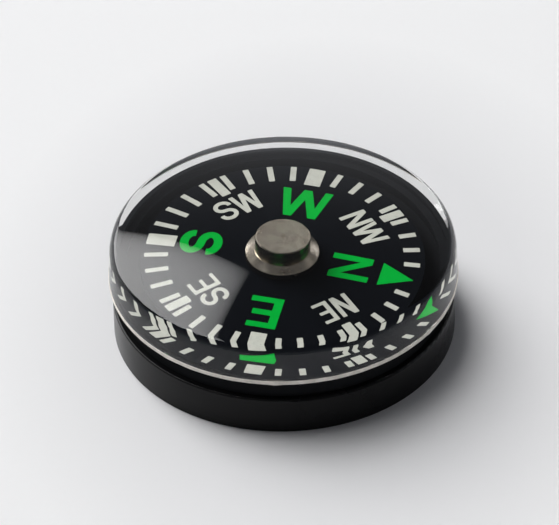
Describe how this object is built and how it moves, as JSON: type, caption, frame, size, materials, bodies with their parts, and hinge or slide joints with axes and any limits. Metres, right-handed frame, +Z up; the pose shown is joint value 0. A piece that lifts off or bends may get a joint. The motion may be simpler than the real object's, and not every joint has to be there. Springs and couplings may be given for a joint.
{
  "type": "button compass",
  "caption": "Small round liquid-filled button compass: a printed card on a needle bearing under a domed clear capsule, set in a black base.",
  "frame": {"origin": "centre of the bottom face, on the axis of the case", "axes": "+Z up along the axis of the case; +X to the right and +Y to the back, seen from the front"},
  "size_m": [0.02, 0.02, 0.0072],
  "materials": {
    "black_plastic": "moulded, semi-gloss",
    "clear_acrylic": "clear cast acrylic, polished, with a matt cut edge",
    "damping_oil": "clear light mineral oil",
    "card_enamel": "black enamel, printed in cream and green",
    "nickel_plate": "nickel-plated brass, fine turned",
    "brass": "turned",
    "hardened_steel": "polished",
    "jewel": "synthetic ruby, polished cup",
    "magnet": "sintered, dark grey",
    "black_rubber": "nitrile rubber",
    "adhesive": "double-sided adhesive tape"
  },
  "bodies": {
    "case": {"base_shell": "black_plastic", "bonding_ring": "adhesive", "chamber_floor": "black_plastic", "fill_plug": "black_rubber", "capsule_gasket": "black_rubber", "clear_capsule": "clear_acrylic", "damping_liquid": "damping_oil", "pivot_bush": "brass", "pivot_pin": "hardened_steel"},
    "jewel": {"bearing_jewel": "jewel"},
    "sleeve": {"jewel_sleeve": "brass"},
    "card": {"compass_card": "card_enamel", "hub_flange": "nickel_plate", "hub_cap": "nickel_plate", "magnet_ring": "magnet", "clamp_ring": "brass"}
  },
  "joints": [
    {"name": "card_heading", "type": "hinge", "parent": "case", "child": "jewel", "pos_m": [0, 0, 0.0047], "axis": [0, 0, 1], "continuous": true},
    {"name": "card_dip", "type": "hinge", "parent": "jewel", "child": "sleeve", "pos_m": [0, 0, 0.0047], "axis": [0.2453, 0.9694, 0], "range_deg": [-7.8, 4.2]},
    {"name": "card_roll", "type": "hinge", "parent": "sleeve", "child": "card", "pos_m": [0, 0, 0.0047], "axis": [0.969, -0.2452, -0.0314], "range_deg": [-6, 6]}
  ]
}
